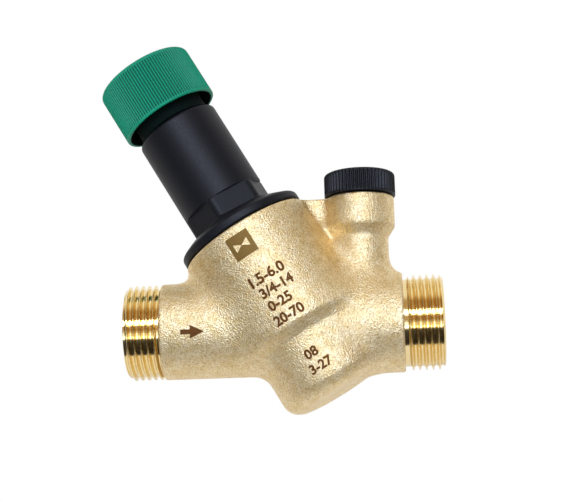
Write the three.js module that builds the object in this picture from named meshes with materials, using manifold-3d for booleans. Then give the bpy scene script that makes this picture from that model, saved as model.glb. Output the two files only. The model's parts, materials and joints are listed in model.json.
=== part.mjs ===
// Pressure reducing valve for DN 15 drinking water pipes: a brass Y-pattern housing, a cartridge with
// strainer, seat, balanced plug and diaphragm, a spring under a plastic bonnet, a setting knob and a gauge plug.
// Millimetres and degrees. X is the pipe axis and the flow direction, Z is up, and the origin is the middle
// of the inlet end face. Heights named "...Height" on the spring axis are counted from where it crosses X.

import * as THREE from "three";
import { mergeVertices } from "three/addons/utils/BufferGeometryUtils.js";
import Module from "manifold-3d";

const wasm = await Module();
wasm.setup();

// Overall layout
const faceToFace = 87.7;
const inletReach = 48.4; // inlet face to the crossing of the pipe axis and the spring axis
const barrelTilt = 30; // spring axis, leaning back over the inlet
const gaugeOffset = 17.5; // crossing to the upright axis of the gauge branch, towards the outlet

// Pipe ends, G 3/4
const pipeThreadRadius = 13.22;
const pipeThreadPitch = 1.814;
const pipeThreadDepth = 1.16;
const inletThreadLength = 11;
const outletThreadLength = 11;
const endChamfer = 1.8;
const portRadius = 8;
const portDepth = 18;
const inletPipeStep = 0.18; // how far each pipe end stands above its thread
const outletPipeStep = 0.38;
const channelRadius = 6.4;

// Barrel of the housing
const barrelRadius = 18.6;
const barrelStep = 2.7; // how much the lower barrel is smaller
const rimHeight = 30.7;
const stepHeight = -1; // the upper barrel ends here and narrows over stepLength
const stepLength = 3;
const bottomHeight = -20.5;
const bottomRounding = 4.2;
const bottomWall = 3;
const rimWall = 3.75;
const rimSeatWall = 2.8; // wall outside the bonnet's O-ring
const topBoreDepth = 10.7;
const chamberStep = 2; // the inlet chamber is wider than the land by this
const chamberFloorHeight = 4;
const landRadius = 10.5;

// Gauge branch, G 1/4
const bossRadius = 9.5;
const bossTop = 35.9;
const bossLength = 9;
const neckRadius = 7.47;
const neckFlare = 4.2; // radius that the neck gains where it meets the outlet pipe
const neckFlareMiddle = 0.4; // share of the flare that is left at the pipe's surface
const gaugeThreadRadius = 6.58;
const gaugeThreadDepth = 0.86;
const gaugeThreadLength = 8;
const gaugeHoleRadius = 2.2;
const webThickness = 4;
const webFoot = 14; // height above the pipe axis where the web ends

// Fits
const faceGap = 0.3; // between two faces that touch on the real valve
const slideGap = 0.2; // radial, around what slides or turns
const threadGap = 0.3; // radial, between a threaded pair
const edgeBevel = 0.5; // small bevel on outer edges

// Spring bonnet
const flangeOverhang = 0.1;
const flangeThickness = 2.8;
const flangeBevel = 2.5;
const flatDepth = 1.1; // from the cylinder's surface in to a flat: 22 mm across flats
const hexTurn = -15; // direction of one flat, seen from above
const hexCornerRise = 0.3;
const hexHeight = 6;
const bonnetRadius = 12.1;
const bonnetLength = 25.9; // plain cylinder above the hexagon
const bonnetWall = 1.8;
const bonnetCeiling = 3;
const neckStep = 3.2; // the neck is smaller than the cylinder by this
const neckLength = 8;
const keyWidth = 3;
const keyDepth = 0.6;
const keyTurn = hexTurn + 30; // the nut's keys point at two corners of the hexagon

// Setting knob, spindle and spring
const knobRadius = 14.2;
const knobHeight = 15.7;
const knobWall = 1.1;
const knobTopWall = 1.7;
const knobRise = 3.4; // bonnet shoulder to the knob's lower rim
const knobRibs = 108;
const ribDepth = 0.32;
const sleeveWall = 1.5;
const sleeveRise = 0.6;
const spindleRadius = 4;
const spindleReach = 18; // threaded length below the collar
const spindleHexRadius = 3.9;
const collarWidth = 3.4;
const collarThickness = 1.8;
const washerThickness = 0.8;
const screwRadius = 1.7;
const screwLength = 8;
const screwHeadRadius = 3.6;
const screwHeadHeight = 1.7;
const screwSlotDepth = 0.9;
const screwSlotWidth = 1;
const nutThickness = 5;
const springClearance = 0.9;
const springWireRadius = 1.25;
const springTurns = 6.5;
const springClosedTurns = 0.75; // flat turns at each end
const springClosedPitch = 2.75; // coil to coil in the flat turns

// Diaphragm and cartridge
const insertFlangeThickness = 2.4;
const insertFlangeWidth = 3.2;
const diaphragmThickness = 1.4;
const slipRingThickness = 0.8;
const valveTravel = 1.8;
const foldSpace = 3.1; // left free for the diaphragm's fold, outside its support
const foldDepth = 0.9;
const foldHalfWidth = 1.2;
const supportThickness = 0.9;
const springPlateThickness = 1.8;
const springPlateBoss = 2.4;
const pistonLength = 6.5;
const pistonLand = 1.2; // above the piston's O-ring
const guideWall = 1.6;
const guideLength = 8;
const cartridgePlate = 2;
const strainerClearance = 1.3; // from the strainer out to the chamber's wall
const cageWall = 1.5;
const cageRing = 1.8;
const cagePosts = 4;
const cagePostWidth = 3.4;
const strainerWall = 0.5;
const strainerSlots = 24;
const strainerSlotWidth = 1.4;
const strainerEdge = 1.4; // closed band above and below the slots
const seatRadius = 5.9;
const seatFlangeThickness = 1.7;
const seatLipWidth = 0.9;
const seatLipHeight = 0.6;
const stemRadius = 2.4;
const stemBoreRadius = 1.1;
const stemProjection = 0.8; // beyond the nut at either end
const pressureHoleRadius = 0.8;
const pressureHoleRise = 0.9; // above the piston
const stemNutRadius = 4.4;
const stemNutHeight = 3;
const discMargin = 1.4; // from the seat's lip out to the edge of the disc
const discThickness = 3;
const discSealThickness = 1.5;
const discNutHeight = 2.6;
const discBevel = 1.5;
const discRimWidth = 1;
const discRimHeight = 0.9; // how far the rim stands up beside the sealing washer

// Gauge plug
const plugOverhang = 0.5;
const plugHeight = 6.6;
const plugRibs = 56;
const plugRibDepth = 0.4;
const plugWall = 1.8;

// O-rings, as section radii
const bonnetRingSection = 0.5;
const seatRingSection = 0.9;
const pistonRingSection = 0.7;
const plugRingSection = 0.6;

const coarseRound = 24;
const fineRound = 36;
const overcut = 1; // how far a cutter runs past the face it opens
const cornerSteps = 5; // straight pieces in the barrel's rounded corner

// Heights on the spring axis that several pieces share
const shoulderHeight = rimHeight - topBoreDepth;
const insertTopHeight = shoulderHeight + faceGap + insertFlangeThickness;
const diaphragmHeight = insertTopHeight + faceGap;
const diaphragmTopHeight = diaphragmHeight + diaphragmThickness;
const slipRingHeight = diaphragmTopHeight + faceGap;
const bonnetFootHeight = slipRingHeight + slipRingThickness + faceGap;
const flangeHeight = rimHeight + faceGap;
const hexBottomHeight = flangeHeight + flangeThickness + flangeBevel;
const hexTopHeight = hexBottomHeight + hexHeight;
const bonnetShoulderHeight = hexTopHeight + bonnetLength;
const ceilingHeight = bonnetShoulderHeight - bonnetCeiling;
const knobRimHeight = bonnetShoulderHeight + knobRise;
const knobTopHeight = knobRimHeight + knobHeight;
const neckTopHeight = bonnetShoulderHeight + neckLength;
const washerHeight = ceilingHeight - faceGap - washerThickness;
const collarHeight = washerHeight - faceGap - collarThickness;
const nutHeight = collarHeight - faceGap - nutThickness;
const springPlateHeight = diaphragmTopHeight + faceGap;
const springFootHeight = springPlateHeight + springPlateThickness + faceGap;
const lowerFloorHeight = bottomHeight + bottomWall;
const seatBottomHeight = chamberFloorHeight - 2 * (landRadius - seatRadius) + seatLipWidth;

const outletReach = faceToFace - inletReach;

// Radii that follow from their neighbours
const inletPipeRadius = pipeThreadRadius + inletPipeStep;
const outletPipeRadius = pipeThreadRadius + outletPipeStep;
const lowerBarrelRadius = barrelRadius - barrelStep;
const chamberRadius = landRadius + chamberStep;
const flangeRadius = barrelRadius + flangeOverhang;
const hexCornerRadius = bonnetRadius + hexCornerRise;
const neckOuterRadius = bonnetRadius - neckStep;
const collarRadius = spindleRadius + collarWidth;
const pistonRadius = seatRadius; // equal areas balance the inlet pressure
const discRadius = seatRadius + seatLipWidth + discMargin;
const cageRadius = chamberRadius - strainerClearance - strainerWall - faceGap;
const plugRadius = bossRadius + plugOverhang;
const topBoreRadius = barrelRadius - rimWall;
const ringSeatRadius = barrelRadius - rimSeatWall;
const bonnetBoreRadius = bonnetRadius - bonnetWall;
const bonnetThreadRadius = topBoreRadius - threadGap;
const springRadius = bonnetBoreRadius - springClearance;
const recessRadius = topBoreRadius - threadGap - insertFlangeWidth; // space under the diaphragm
const supportRadius = recessRadius - foldSpace;
const screwSeatHeight = knobTopHeight - screwHeadHeight - faceGap;
const spindleTopHeight = screwSeatHeight - knobTopWall - faceGap;

const brass = { color: 0xcdb682, roughness: 0.5, metalness: 0.9 };
const turnedBrass = { color: 0xd2b66a, roughness: 0.25, metalness: 1 };
const blackPlastic = { color: 0x232428, roughness: 0.6, metalness: 0 };
const greenPlastic = { color: 0x18725c, roughness: 0.5, metalness: 0 };
const whitePlastic = { color: 0xd8d5c8, roughness: 0.55, metalness: 0 };
const rubber = { color: 0x1a1a1c, roughness: 0.85, metalness: 0 };
const steel = { color: 0x9a9ca0, roughness: 0.35, metalness: 1 };

// Turning and moving plain geometry

function radians(degrees) {
  return THREE.MathUtils.degToRad(degrees);
}

// Revolves [radius, height] points about Z
function turned(outline, segments = coarseRound) {
  const profile = outline.map(([radius, height]) => new THREE.Vector2(radius, height));
  return new THREE.LatheGeometry(profile, segments).rotateX(Math.PI / 2);
}

function rod(radius, bottom, top, segments = coarseRound) {
  return turned([[0, bottom], [radius, bottom], [radius, top], [0, top]], segments);
}

function tube(inner, outer, bottom, top, segments = coarseRound) {
  return turned([[inner, bottom], [outer, bottom], [outer, top], [inner, top], [inner, bottom]], segments);
}

function oRing(radius, section, height) {
  return new THREE.TorusGeometry(radius, section, 6, coarseRound).translate(0, 0, height);
}

function block(width, depth, bottom, top, x = 0, y = 0) {
  return new THREE.BoxGeometry(width, depth, top - bottom).translate(x, y, (top + bottom) / 2);
}

function hexPrism(cornerRadius, bottom, top) {
  const prism = new THREE.CylinderGeometry(cornerRadius, cornerRadius, top - bottom, 6);
  return prism.rotateX(Math.PI / 2).translate(0, 0, (top + bottom) / 2);
}

// A round bar between two points of the mid-plane, given as [x, z]
function channel(radius, [startX, startZ], [endX, endZ]) {
  const length = Math.hypot(endX - startX, endZ - startZ);
  const lean = Math.atan2(endX - startX, endZ - startZ);
  return rod(radius, 0, length).rotateY(lean).translate(startX, 0, startZ);
}

// Turns a shape made about Z so that Z becomes X
function alongPipe(geometry) {
  return geometry.rotateY(Math.PI / 2);
}

// Turns a shape made about Z onto the spring axis
function onSpringAxis(geometry) {
  return geometry.rotateY(radians(-barrelTilt));
}

// Where a height on the spring axis lies in the mid-plane, as [x, z]
function springPoint(height) {
  return [-height * Math.sin(radians(barrelTilt)), height * Math.cos(radians(barrelTilt))];
}

// A prism with ribs around it and a small bevel at both ends
function ribbedPrism(radius, depth, ribs, bottom, top, bevel) {
  const shape = new THREE.Shape();
  for (let index = 0; index < 2 * ribs; index += 1) {
    const angle = (Math.PI * index) / ribs;
    const reach = (index % 2 === 0 ? radius : radius - depth) - bevel;
    const point = [reach * Math.cos(angle), reach * Math.sin(angle)];
    if (index === 0) {
      shape.moveTo(...point);
    } else {
      shape.lineTo(...point);
    }
  }
  shape.closePath();
  const depthBetween = top - bottom - 2 * bevel;
  const settings = { depth: depthBetween, bevelThickness: bevel, bevelSize: bevel, bevelSegments: 1 };
  return new THREE.ExtrudeGeometry(shape, settings).translate(0, 0, bottom + bevel);
}

// Rings of thread from start to end, as [radius, height] points
function threadOutline(crest, depth, pitch, start, end) {
  const turns = Math.floor((end - start) / pitch);
  const margin = (end - start - turns * pitch) / 2;
  const points = [];
  for (let turn = 0; turn < turns; turn += 1) {
    const foot = start + margin + turn * pitch;
    points.push([crest - depth, foot], [crest, foot + pitch / 2]);
  }
  points.push([crest - depth, start + margin + turns * pitch]);
  return points;
}

// Joining and cutting

// Merges shared corners, drops flat triangles and turns the faces outwards
function welded(geometry) {
  const bare = geometry.clone();
  bare.deleteAttribute("normal");
  bare.deleteAttribute("uv");
  const merged = mergeVertices(bare, 1e-3);
  const { array } = merged.attributes.position;
  const corners = [];
  for (let start = 0; start < merged.index.count; start += 3) {
    const [a, b, c] = [0, 1, 2].map((step) => merged.index.getX(start + step));
    if (a !== b && b !== c && c !== a) {
      corners.push(a, b, c);
    }
  }
  const at = (index) => new THREE.Vector3().fromArray(array, 3 * index);
  let volume = 0;
  for (let start = 0; start < corners.length; start += 3) {
    const [a, b, c] = corners.slice(start, start + 3).map(at);
    volume += a.dot(b.cross(c));
  }
  if (volume < 0) {
    corners.reverse();
  }
  return { vertProperties: Float32Array.from(array), triVerts: Uint32Array.from(corners) };
}

function solid(geometry) {
  return new wasm.Manifold(new wasm.Mesh({ numProp: 3, ...welded(geometry) }));
}

function join(...geometries) {
  return geometries.map(solid).reduce((whole, next) => whole.add(next));
}

function cut(body, ...cutters) {
  return cutters.map(solid).reduce((whole, next) => whole.subtract(next), body);
}

function named(name, body, look) {
  const { vertProperties, triVerts } = body.getMesh();
  const geometry = new THREE.BufferGeometry();
  geometry.setAttribute("position", new THREE.BufferAttribute(Float32Array.from(vertProperties), 3));
  geometry.setIndex(new THREE.BufferAttribute(Uint32Array.from(triVerts), 1));
  geometry.computeVertexNormals();
  const mesh = new THREE.Mesh(geometry, new THREE.MeshStandardMaterial(look));
  mesh.name = name;
  return mesh;
}

// The brass housing, made around the crossing of its axes

function threadedEnd(reach, threadLength, pipeRadius) {
  const root = pipeThreadRadius - pipeThreadDepth;
  const threadStart = reach - threadLength;
  return alongPipe(turned([
    [0, 0],
    [pipeRadius, 0],
    [pipeRadius, threadStart],
    [root, threadStart],
    ...threadOutline(pipeThreadRadius, pipeThreadDepth, pipeThreadPitch, threadStart, reach - endChamfer),
    [pipeThreadRadius - endChamfer, reach],
    [0, reach],
  ], fineRound));
}

function barrelBody() {
  const arc = new THREE.Path();
  const cornerRadius = lowerBarrelRadius - bottomRounding;
  arc.absarc(cornerRadius, bottomHeight + bottomRounding, bottomRounding, -Math.PI / 2, 0);
  const corner = arc.getPoints(cornerSteps).map((point) => [point.x, point.y]);
  return onSpringAxis(turned([
    [0, bottomHeight],
    ...corner,
    [lowerBarrelRadius, stepHeight - stepLength],
    [barrelRadius, stepHeight],
    [barrelRadius, rimHeight],
    [0, rimHeight],
  ], fineRound));
}

function gaugeBranch() {
  const shoulder = bossTop - bossLength;
  const flareTop = outletPipeRadius + neckFlare;
  return turned([
    [0, 0],
    [neckRadius + neckFlare, 0],
    [neckRadius + neckFlare, outletPipeRadius - neckFlare],
    [neckRadius + neckFlareMiddle * neckFlare, outletPipeRadius],
    [neckRadius, flareTop],
    [neckRadius, shoulder - (bossRadius - neckRadius)],
    [bossRadius, shoulder],
    [bossRadius, bossTop],
    [0, bossTop],
  ]).translate(gaugeOffset, 0, 0);
}

// The plate between barrel and gauge branch
function web() {
  const [rimX] = springPoint(rimHeight);
  const outline = new THREE.Shape();
  outline.moveTo(rimX, bossTop);
  outline.lineTo(gaugeOffset, bossTop);
  outline.lineTo(gaugeOffset, webFoot);
  outline.lineTo(0, webFoot);
  const plate = new THREE.ExtrudeGeometry(outline, { depth: webThickness, bevelEnabled: false });
  plate.translate(0, 0, -webThickness / 2).rotateX(Math.PI / 2);
  const aboveRim = block(6 * barrelRadius, 2 * barrelRadius, rimHeight - faceGap, rimHeight + bossTop);
  return cut(solid(plate), onSpringAxis(aboveRim));
}

function housing() {
  const inletEnd = threadedEnd(inletReach, inletThreadLength, inletPipeRadius).rotateZ(Math.PI);
  const outletEnd = threadedEnd(outletReach, outletThreadLength, outletPipeRadius);
  const outside = join(inletEnd, outletEnd, barrelBody(), gaugeBranch()).add(web());
  const ringSeatHeight = rimHeight - 4 * bonnetRingSection;
  const bores = onSpringAxis(turned([
    [0, lowerFloorHeight],
    [landRadius, lowerFloorHeight],
    [landRadius, chamberFloorHeight],
    [chamberRadius, chamberFloorHeight],
    [chamberRadius, shoulderHeight],
    [topBoreRadius, shoulderHeight],
    [topBoreRadius, ringSeatHeight],
    [ringSeatRadius, ringSeatHeight],
    [ringSeatRadius, rimHeight + overcut],
    [0, rimHeight + overcut],
  ], fineRound));
  const gaugeCore = gaugeThreadRadius - gaugeThreadDepth;
  const plugRingSeat = gaugeCore + threadGap + 4 * plugRingSection;
  const gaugeBore = turned([
    [0, bossTop - gaugeThreadLength - faceGap - overcut],
    [gaugeCore + threadGap, bossTop - gaugeThreadLength - faceGap - overcut],
    [gaugeCore + threadGap, bossTop - 2 * plugRingSection],
    [plugRingSeat, bossTop - 2 * plugRingSection],
    [plugRingSeat, bossTop + overcut],
    [0, bossTop + overcut],
  ]).translate(gaugeOffset, 0, 0);
  const chamberMiddle = (chamberFloorHeight + shoulderHeight) / 2;
  const outletMiddle = (lowerFloorHeight + seatBottomHeight) / 2;
  return cut(
    outside,
    bores,
    gaugeBore,
    rod(gaugeHoleRadius, 0, bossTop - overcut).translate(gaugeOffset, 0, 0),
    channel(portRadius, [-inletReach - overcut, 0], [portDepth - inletReach, 0]),
    channel(channelRadius, [portDepth - inletReach - overcut, 0], springPoint(chamberMiddle)),
    channel(portRadius, [outletReach - portDepth, 0], [outletReach + overcut, 0]),
    channel(channelRadius, springPoint(outletMiddle), [outletReach - portDepth + overcut, 0]),
  );
}

// Pieces on the spring axis, made about Z from the crossing

// Bar across the spring axis that makes the nut's keys and their grooves
function keyBar(reach, width, bottom, top) {
  return block(2 * reach, width, bottom, top).rotateZ(radians(keyTurn));
}

function springBonnet() {
  const flangeTop = flangeHeight + flangeThickness;
  const foot = bonnetThreadRadius;
  const threadEnd = rimHeight - 4 * bonnetRingSection;
  const ringRoot = ringSeatRadius - 2 * bonnetRingSection - threadGap;
  const outside = turned([
    [0, bonnetFootHeight],
    [foot, bonnetFootHeight],
    [foot, threadEnd],
    [Math.min(foot, ringRoot), threadEnd],
    [Math.min(foot, ringRoot), flangeHeight],
    [flangeRadius - edgeBevel, flangeHeight],
    [flangeRadius, flangeHeight + edgeBevel],
    [flangeRadius, flangeTop - edgeBevel],
    [flangeRadius - edgeBevel, flangeTop],
    [hexCornerRadius, hexBottomHeight],
    [hexCornerRadius, hexTopHeight],
    [bonnetRadius, hexTopHeight + hexCornerRise],
    [bonnetRadius, bonnetShoulderHeight - edgeBevel],
    [bonnetRadius - edgeBevel, bonnetShoulderHeight],
    [neckOuterRadius, bonnetShoulderHeight],
    [neckOuterRadius, neckTopHeight],
    [0, neckTopHeight],
  ], fineRound);
  const grooveReach = bonnetBoreRadius + keyDepth + faceGap;
  let bonnet = cut(
    solid(outside),
    rod(bonnetBoreRadius, bonnetFootHeight - overcut, ceilingHeight, fineRound),
    rod(spindleRadius + slideGap, ceilingHeight - overcut, neckTopHeight + overcut),
    keyBar(grooveReach, keyWidth + 2 * faceGap, bonnetFootHeight - overcut, ceilingHeight),
  );
  const flatReach = bonnetRadius - flatDepth;
  for (let side = 0; side < 6; side += 1) {
    const flat = block(flatReach, 2 * bonnetRadius, hexBottomHeight, hexTopHeight, flatReach + flatReach / 2);
    bonnet = cut(bonnet, flat.rotateZ(radians(60 * side + hexTurn)));
  }
  return bonnet;
}

function knob() {
  const ceiling = knobTopHeight - knobTopWall;
  const sleeveInner = neckOuterRadius + slideGap + faceGap;
  const bushOuter = spindleHexRadius + sleeveWall;
  const shell = cut(
    solid(ribbedPrism(knobRadius, ribDepth, knobRibs, knobRimHeight, knobTopHeight, edgeBevel)),
    rod(knobRadius - knobWall, knobRimHeight - overcut, ceiling, fineRound),
  );
  const sleeveFoot = bonnetShoulderHeight + sleeveRise;
  const sleeve = tube(sleeveInner, sleeveInner + sleeveWall, sleeveFoot, ceiling + knobTopWall / 2);
  const bush = rod(bushOuter, neckTopHeight + faceGap, ceiling + knobTopWall / 2);
  return cut(
    shell.add(join(sleeve, bush)),
    hexPrism(spindleHexRadius + slideGap, neckTopHeight, spindleTopHeight + faceGap),
    rod(screwRadius + slideGap, spindleTopHeight, knobTopHeight),
    rod(screwHeadRadius + faceGap, screwSeatHeight - faceGap, knobTopHeight + overcut),
  );
}

function knobScrew() {
  const headTop = screwSeatHeight + screwHeadHeight;
  return cut(
    join(
      rod(screwRadius, screwSeatHeight - screwLength, screwSeatHeight + overcut),
      rod(screwHeadRadius, screwSeatHeight, headTop),
    ),
    block(3 * screwHeadRadius, screwSlotWidth, headTop - screwSlotDepth, headTop + overcut),
  );
}

function spindle() {
  const foot = collarHeight - spindleReach;
  return cut(
    join(
      turned([
        [0, foot],
        [spindleRadius - edgeBevel, foot],
        [spindleRadius, foot + edgeBevel],
        [spindleRadius, collarHeight],
        [collarRadius, collarHeight],
        [collarRadius, collarHeight + collarThickness],
        [spindleRadius, collarHeight + collarThickness],
        [spindleRadius, neckTopHeight],
        [0, neckTopHeight],
      ]),
      hexPrism(spindleHexRadius, neckTopHeight - overcut, spindleTopHeight),
    ),
    rod(screwRadius + faceGap, screwSeatHeight - screwLength - faceGap, spindleTopHeight + overcut),
  );
}

function springNut() {
  const top = nutHeight + nutThickness;
  return cut(
    join(
      rod(bonnetBoreRadius - slideGap - faceGap, nutHeight, top),
      keyBar(bonnetBoreRadius + keyDepth, keyWidth, nutHeight, top),
    ),
    rod(spindleRadius + threadGap, nutHeight - overcut, top + overcut),
  );
}

// A round bar wound from the lower plate to the nut, with a flat coil at each end
function spring() {
  const foot = springFootHeight + springWireRadius;
  const head = nutHeight - faceGap - springWireRadius;
  const radius = springRadius - springWireRadius;
  const stepsPerTurn = 10;
  const steps = Math.round(springTurns * stepsPerTurn);
  const openTurns = springTurns - 2 * springClosedTurns;
  const openRise = head - foot - 2 * springClosedPitch * springClosedTurns;
  const points = [];
  for (let step = 0; step <= steps; step += 1) {
    const turn = step / stepsPerTurn;
    const share = THREE.MathUtils.clamp((turn - springClosedTurns) / openTurns, 0, 1);
    const startRise = springClosedPitch * Math.min(turn, springClosedTurns);
    const endRise = springClosedPitch * Math.max(turn - springTurns + springClosedTurns, 0);
    const angle = 2 * Math.PI * turn;
    const height = foot + startRise + share * openRise + endRise;
    points.push(new THREE.Vector3(radius * Math.cos(angle), radius * Math.sin(angle), height));
  }
  const section = new THREE.Shape();
  section.absarc(0, 0, springWireRadius, 0, 2 * Math.PI);
  const path = new THREE.CatmullRomCurve3(points);
  return solid(new THREE.ExtrudeGeometry(section, { steps, curveSegments: 3, extrudePath: path }));
}

function springPlate() {
  const top = springPlateHeight + springPlateThickness;
  const outer = bonnetBoreRadius - slideGap - faceGap;
  const boss = springRadius - 2 * springWireRadius - faceGap;
  return cut(
    join(
      rod(outer, springPlateHeight, top),
      rod(boss, springPlateHeight, top + springPlateBoss),
    ),
    rod(stemRadius + slideGap, springPlateHeight - overcut, top + springPlateBoss + overcut),
    rod(stemNutRadius + faceGap, top, top + springPlateBoss + overcut),
  );
}

function stemNut() {
  const bottom = springPlateHeight + springPlateThickness + faceGap;
  return cut(
    solid(hexPrism(stemNutRadius, bottom, bottom + stemNutHeight)),
    rod(stemRadius + slideGap, bottom - overcut, bottom + stemNutHeight + overcut),
  );
}

// Flat rim and centre with one rolled fold between them
function diaphragm() {
  const rim = topBoreRadius - threadGap;
  const foldMiddle = (recessRadius + supportRadius) / 2;
  return solid(turned([
    [stemRadius + slideGap, diaphragmHeight],
    [foldMiddle - foldHalfWidth, diaphragmHeight],
    [foldMiddle, diaphragmHeight - foldDepth],
    [foldMiddle + foldHalfWidth, diaphragmHeight],
    [rim, diaphragmHeight],
    [rim, diaphragmTopHeight],
    [foldMiddle + foldHalfWidth, diaphragmTopHeight],
    [foldMiddle, diaphragmTopHeight - foldDepth],
    [foldMiddle - foldHalfWidth, diaphragmTopHeight],
    [stemRadius + slideGap, diaphragmTopHeight],
    [stemRadius + slideGap, diaphragmHeight],
  ]));
}

function slipRing() {
  const inner = bonnetBoreRadius + faceGap;
  const outer = topBoreRadius - threadGap;
  return solid(tube(inner, outer, slipRingHeight, slipRingHeight + slipRingThickness));
}

function supportDisc() {
  const top = diaphragmHeight - faceGap;
  return solid(tube(stemRadius + slideGap, supportRadius, top - supportThickness, top));
}

// Where the piston's guide ends below, and the free space above it begins
const guideTopHeight = diaphragmHeight - supportThickness - 2 * faceGap - valveTravel;
const guideBottomHeight = guideTopHeight - guideLength;
const plateBottomHeight = guideTopHeight - cartridgePlate;
const pistonTopHeight = guideTopHeight - faceGap;
const pistonRingHeight = pistonTopHeight - valveTravel - pistonRingSection - pistonLand;
const cageBottomHeight = chamberFloorHeight + seatFlangeThickness + 2 * faceGap;

// Flange under the diaphragm, guide for the piston and a cage down to the seat
function cartridge() {
  const flange = topBoreRadius - threadGap;
  const floor = shoulderHeight + faceGap;
  const guideOuter = pistonRadius + slideGap + guideWall;
  let body = cut(
    join(
      turned([
        [0, guideBottomHeight],
        [guideOuter, guideBottomHeight],
        [guideOuter, plateBottomHeight],
        [cageRadius - cageWall, plateBottomHeight],
        [cageRadius - cageWall, cageBottomHeight],
        [cageRadius, cageBottomHeight],
        [cageRadius, plateBottomHeight],
        [chamberRadius - faceGap, plateBottomHeight],
        [chamberRadius - faceGap, floor],
        [flange, floor],
        [flange, insertTopHeight],
        [recessRadius, insertTopHeight],
        [recessRadius, guideTopHeight],
        [0, guideTopHeight],
      ]),
    ),
    rod(pistonRadius + slideGap, guideBottomHeight - overcut, guideTopHeight + overcut),
  );
  const windowBottom = cageBottomHeight + cageRing;
  const windowTop = plateBottomHeight - faceGap;
  const windowWidth = 2 * (cageRadius - cageWall) * Math.sin(Math.PI / cagePosts) - cagePostWidth;
  for (let side = 0; side < cagePosts; side += 1) {
    const opening = block(2 * cageWall, windowWidth, windowBottom, windowTop, cageRadius - cageWall / 2);
    body = cut(body, opening.rotateZ((2 * Math.PI * side) / cagePosts));
  }
  return body;
}

function strainer() {
  const inner = cageRadius + faceGap;
  const bottom = cageBottomHeight;
  const top = plateBottomHeight - faceGap;
  const slotBottom = bottom + strainerEdge;
  const slotTop = top - strainerEdge;
  let sleeve = solid(tube(inner, inner + strainerWall, bottom, top, fineRound));
  for (let slot = 0; slot < strainerSlots; slot += 1) {
    const opening = block(8 * strainerWall, strainerSlotWidth, slotBottom, slotTop, inner);
    sleeve = cut(sleeve, opening.rotateZ((2 * Math.PI * slot) / strainerSlots));
  }
  return sleeve;
}

// Sleeve in the housing's land, with a flange above, a groove for its O-ring and the seat's lip below
function seatSleeve() {
  const outer = landRadius - faceGap;
  const floor = chamberFloorHeight + faceGap;
  const ringHeight = (floor + seatBottomHeight) / 2;
  const grooveRadius = landRadius - 2 * seatRingSection - 2 * faceGap;
  const grooveHalf = seatRingSection + faceGap;
  return solid(turned([
    [seatRadius, seatBottomHeight],
    [seatRadius + seatLipWidth, seatBottomHeight],
    [seatRadius + seatLipWidth, seatBottomHeight + seatLipHeight],
    [outer, seatBottomHeight + seatLipHeight],
    [outer, ringHeight - grooveHalf],
    [grooveRadius, ringHeight - grooveHalf],
    [grooveRadius, ringHeight + grooveHalf],
    [outer, ringHeight + grooveHalf],
    [outer, floor],
    [chamberRadius - faceGap, floor],
    [chamberRadius - faceGap, floor + seatFlangeThickness],
    [seatRadius, floor + seatFlangeThickness],
    [seatRadius, seatBottomHeight],
  ]));
}

function seatRing() {
  const middle = (chamberFloorHeight + faceGap + seatBottomHeight) / 2;
  return solid(oRing(landRadius - seatRingSection - faceGap / 2, seatRingSection, middle));
}

// Heights of the closing pieces under the seat, with the valve closed
const discSealTopHeight = seatBottomHeight - faceGap;
const discTopHeight = discSealTopHeight - discSealThickness - faceGap;
const discBottomHeight = discTopHeight - discThickness;
const discNutBottomHeight = discBottomHeight - faceGap - discNutHeight;

// Hollow stem with the balancing piston, which carries outlet pressure up to the diaphragm
function stem() {
  const top = springPlateHeight + springPlateThickness + faceGap + stemNutHeight + stemProjection;
  const grooveRadius = pistonRadius - 2 * pistonRingSection - faceGap + slideGap;
  const grooveHalf = pistonRingSection + faceGap / 2;
  const body = turned([
    [0, discNutBottomHeight - stemProjection],
    [stemRadius, discNutBottomHeight - stemProjection],
    [stemRadius, pistonTopHeight - pistonLength],
    [pistonRadius, pistonTopHeight - pistonLength],
    [pistonRadius, pistonRingHeight - grooveHalf],
    [grooveRadius, pistonRingHeight - grooveHalf],
    [grooveRadius, pistonRingHeight + grooveHalf],
    [pistonRadius, pistonRingHeight + grooveHalf],
    [pistonRadius, pistonTopHeight],
    [stemRadius, pistonTopHeight],
    [stemRadius, top],
    [0, top],
  ]);
  const holeHeight = pistonTopHeight + pressureHoleRise;
  const pressureHole = rod(pressureHoleRadius, -overcut, 2 * stemRadius).rotateY(Math.PI / 2);
  return cut(
    solid(body),
    rod(stemBoreRadius, discNutBottomHeight - 2 * overcut, holeHeight + pressureHoleRadius),
    pressureHole.translate(0, 0, holeHeight),
  );
}

function pistonRing() {
  return solid(oRing(pistonRadius - pistonRingSection + slideGap / 2, pistonRingSection, pistonRingHeight));
}

function discSeal() {
  const bottom = discSealTopHeight - discSealThickness;
  return solid(tube(stemRadius + slideGap, discRadius - discRimWidth, bottom, discSealTopHeight));
}

// Cup that holds the sealing washer
function disc() {
  return solid(turned([
    [stemRadius + slideGap, discBottomHeight],
    [discRadius - discBevel, discBottomHeight],
    [discRadius, discBottomHeight + discBevel],
    [discRadius, discTopHeight + discRimHeight],
    [discRadius - discRimWidth + faceGap, discTopHeight + discRimHeight],
    [discRadius - discRimWidth + faceGap, discTopHeight],
    [stemRadius + slideGap, discTopHeight],
    [stemRadius + slideGap, discBottomHeight],
  ]));
}

function discNut() {
  const top = discNutBottomHeight + discNutHeight;
  return cut(
    solid(hexPrism(stemNutRadius, discNutBottomHeight, top)),
    rod(stemRadius + slideGap, discNutBottomHeight - overcut, top + overcut),
  );
}

function bonnetRing() {
  const height = rimHeight - 2 * bonnetRingSection;
  return solid(oRing(ringSeatRadius - bonnetRingSection - faceGap / 2, bonnetRingSection, height));
}

// Gauge plug pieces, made about Z with the pipe axis at height 0

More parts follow.
